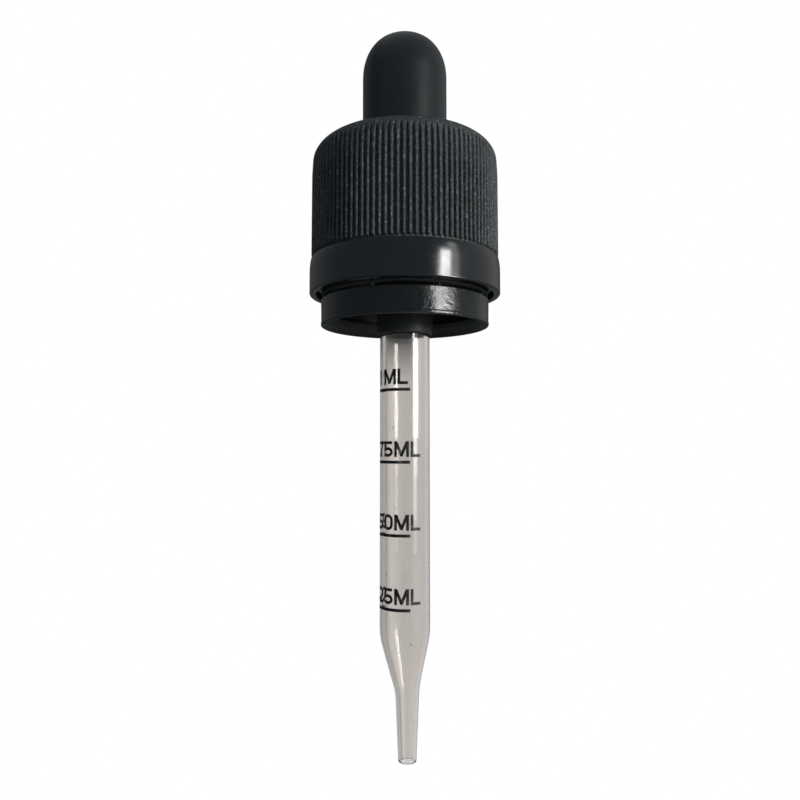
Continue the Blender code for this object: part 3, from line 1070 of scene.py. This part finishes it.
# The dark patch seen through the top of the tube, with its edges as (axis, low, high, start, stop) spreads
SHADE_BEHIND = (0.09, 0.09, 0.09, 1.0)
SHADE_EDGES = [
    ("Z", 0, 1, 0.088, 0.142),
    ("Z", 1, 0, 0.155, 0.185),
    ("Y", 0, 1, 0.8, 0.93),
    ("X", 1, 0, 0.04, 0.16),
]
WHITE = (1.0, 1.0, 1.0, 1.0)

FLOOR_DROP = 45
FLOOR_HALF_M = 30.0

CAMERA_PLACE_M = (-0.00068, -0.1058, -0.0367)
CAMERA_TILT = 3.54
CAMERA_LENS = 33.75
CAMERA_SENSOR = 36


def mixed(tree, factor, one, other, blend="MIX"):
    """Mixes two colours. Each may be a socket or a plain colour, and the factor a socket or a number."""
    made = tree.nodes.new("ShaderNodeMix")
    made.data_type = "RGBA"
    made.blend_type = blend
    colours = [socket for socket in made.inputs if socket.type == "RGBA"]
    for source, socket in ((factor, made.inputs["Factor"]), (one, colours[0]), (other, colours[1])):
        if isinstance(source, bpy.types.NodeSocket):
            tree.links.new(source, socket)
        else:
            socket.default_value = source
    return next(socket for socket in made.outputs if socket.type == "RGBA")


def product(tree, one, other):
    """One value times another."""
    made = tree.nodes.new("ShaderNodeMath")
    made.operation = "MULTIPLY"
    tree.links.new(one, made.inputs[0])
    tree.links.new(other, made.inputs[1])
    return made.outputs[0]


def heading(tree, vector):
    """How far a direction or a place is to the right, from 0 for due left to 1 for due right."""
    flat = tree.nodes.new("ShaderNodeVectorMath")
    flat.operation = "MULTIPLY"
    flat.inputs[1].default_value = (1, 1, 0)
    unit = tree.nodes.new("ShaderNodeVectorMath")
    unit.operation = "NORMALIZE"
    split = tree.nodes.new("ShaderNodeSeparateXYZ")
    tree.links.new(vector, flat.inputs[0])
    tree.links.new(flat.outputs[0], unit.inputs[0])
    tree.links.new(unit.outputs[0], split.inputs[0])
    return spread(tree, split.outputs["X"], 0, 1, -1, 1)


def seen_ray(tree):
    """1 for what the camera sees, directly or through the glass, and 0 for light and reflections."""
    path = tree.nodes.new("ShaderNodeLightPath")
    seen = tree.nodes.new("ShaderNodeMath")
    seen.operation = "MAXIMUM"
    tree.links.new(path.outputs["Is Camera Ray"], seen.inputs[0])
    tree.links.new(path.outputs["Is Transmission Ray"], seen.inputs[1])
    return seen.outputs[0]


def panel(name, azimuth, width, low, high, radiance):
    """An upright light panel that faces the axis. azimuth is in degrees to the right of the front."""
    data = bpy.data.lights.new(name, "AREA")
    data.shape = "RECTANGLE"
    data.size, data.size_y = width * MM, (high - low) * MM
    data.energy = radiance * math.pi * data.size * data.size_y
    made = bpy.data.objects.new(name, data)
    turn = math.radians(azimuth)
    away = PANEL_DISTANCE * MM
    made.location = (away * math.sin(turn), -away * math.cos(turn), (low + high) / 2 * MM)
    made.rotation_euler = (math.radians(90), 0, turn)
    bpy.context.scene.collection.objects.link(made)


def lights():
    """A tall window to the right, brightest in its middle and fading towards its foot."""
    for name, azimuth, width, low, high, radiance in WINDOW_PARTS:
        panel(name, azimuth, width, low, high, radiance)


def shade_share(tree, split):
    """How much of the dark patch each direction shows: 1 in its middle, and 0 outside its soft edges."""
    share = None
    for axis, low, high, start, stop in SHADE_EDGES:
        edge = spread(tree, split.outputs[axis], low, high, start, stop)
        share = edge if share is None else product(tree, share, edge)
    return share


def world():
    """White where it is seen, a little shaded through the glass, and a dim room for light and reflections."""
    made = bpy.data.worlds.new("studio")
    bpy.context.scene.world = made
    made.use_nodes = True
    tree = made.node_tree
    direction = tree.nodes.new("ShaderNodeTexCoord").outputs["Generated"]
    split = tree.nodes.new("ShaderNodeSeparateXYZ")
    path = tree.nodes.new("ShaderNodeLightPath")
    tree.links.new(direction, split.inputs["Vector"])
    along = spread(tree, split.outputs["Y"], 0, 1, -1, 1)
    across = spread(tree, split.outputs["X"], 0, 1, -1, 1)
    room = mixed(tree, 1.0, ramp(tree, along, BEHIND_STOPS), ramp(tree, across, BESIDE_STOPS), "ADD")
    glass = ramp(tree, heading(tree, direction), THROUGH_GLASS_STOPS)
    glass = mixed(tree, shade_share(tree, split), glass, SHADE_BEHIND)
    seen = mixed(tree, path.outputs["Is Transmission Ray"], room, glass)
    seen = mixed(tree, path.outputs["Is Camera Ray"], seen, WHITE)
    tree.links.new(seen, tree.nodes["Background"].inputs["Color"])


def floor_white():
    """A pale seamless floor. It shows white, and throws back only a little light from below."""
    made, tree, shader = new_material("floor_white", (0.4, 0.4, 0.4), roughness=0.9, specular=0.1)
    colour = ramp(tree, noise(tree, 3), [(0.3, (0.39, 0.39, 0.39)), (0.7, (0.41, 0.41, 0.41))])
    tree.links.new(colour, shader.inputs["Base Color"])
    glow = tree.nodes.new("ShaderNodeEmission")
    place = tree.nodes.new("ShaderNodeTexCoord").outputs["Object"]
    path = tree.nodes.new("ShaderNodeLightPath")
    # Through the glass the floor shows the same painted shade and light as the backdrop
    glass = ramp(tree, heading(tree, place), THROUGH_GLASS_STOPS)
    tree.links.new(mixed(tree, path.outputs["Is Camera Ray"], glass, WHITE), glow.inputs["Color"])
    mix = tree.nodes.new("ShaderNodeMixShader")
    tree.links.new(seen_ray(tree), mix.inputs["Fac"])
    tree.links.new(shader.outputs[0], mix.inputs[1])
    tree.links.new(glow.outputs[0], mix.inputs[2])
    tree.links.new(mix.outputs[0], tree.nodes["Material Output"].inputs["Surface"])
    return made


def floor():
    """A wide plain floor, some way below the tip, that runs out of sight."""
    level = (GLASS_LOW.z - FLOOR_DROP) * MM
    half = FLOOR_HALF_M
    mesh = bpy.data.meshes.new("floor")
    corners = [(-half, -half, level), (half, -half, level), (half, half, level), (-half, half, level)]
    mesh.from_pydata(corners, [], [(0, 1, 2, 3)])
    mesh.materials.append(floor_white())
    made = bpy.data.objects.new("floor", mesh)
    bpy.context.scene.collection.objects.link(made)


def camera():
    """A close hand-held view, a little below the cap and looking slightly up."""
    data = bpy.data.cameras.new("camera")
    data.lens = CAMERA_LENS
    data.sensor_width = CAMERA_SENSOR
    data.clip_start = 0.005
    data.clip_end = 100
    made = bpy.data.objects.new("camera", data)
    made.location = CAMERA_PLACE_M
    made.rotation_euler = (math.radians(90 + CAMERA_TILT), 0, 0)
    bpy.context.scene.collection.objects.link(made)
    bpy.context.scene.camera = made
    bpy.context.scene.view_settings.view_transform = "Standard"


camera()
world()
lights()
floor()
outer_cap()
hidden_plastic = inner_plastic()
inner_cap(hidden_plastic)
push_spring(hidden_plastic)
tamper_band(hidden_plastic)
bridges(hidden_plastic)
rubber_bulb()
glass_pipette()
graduations()
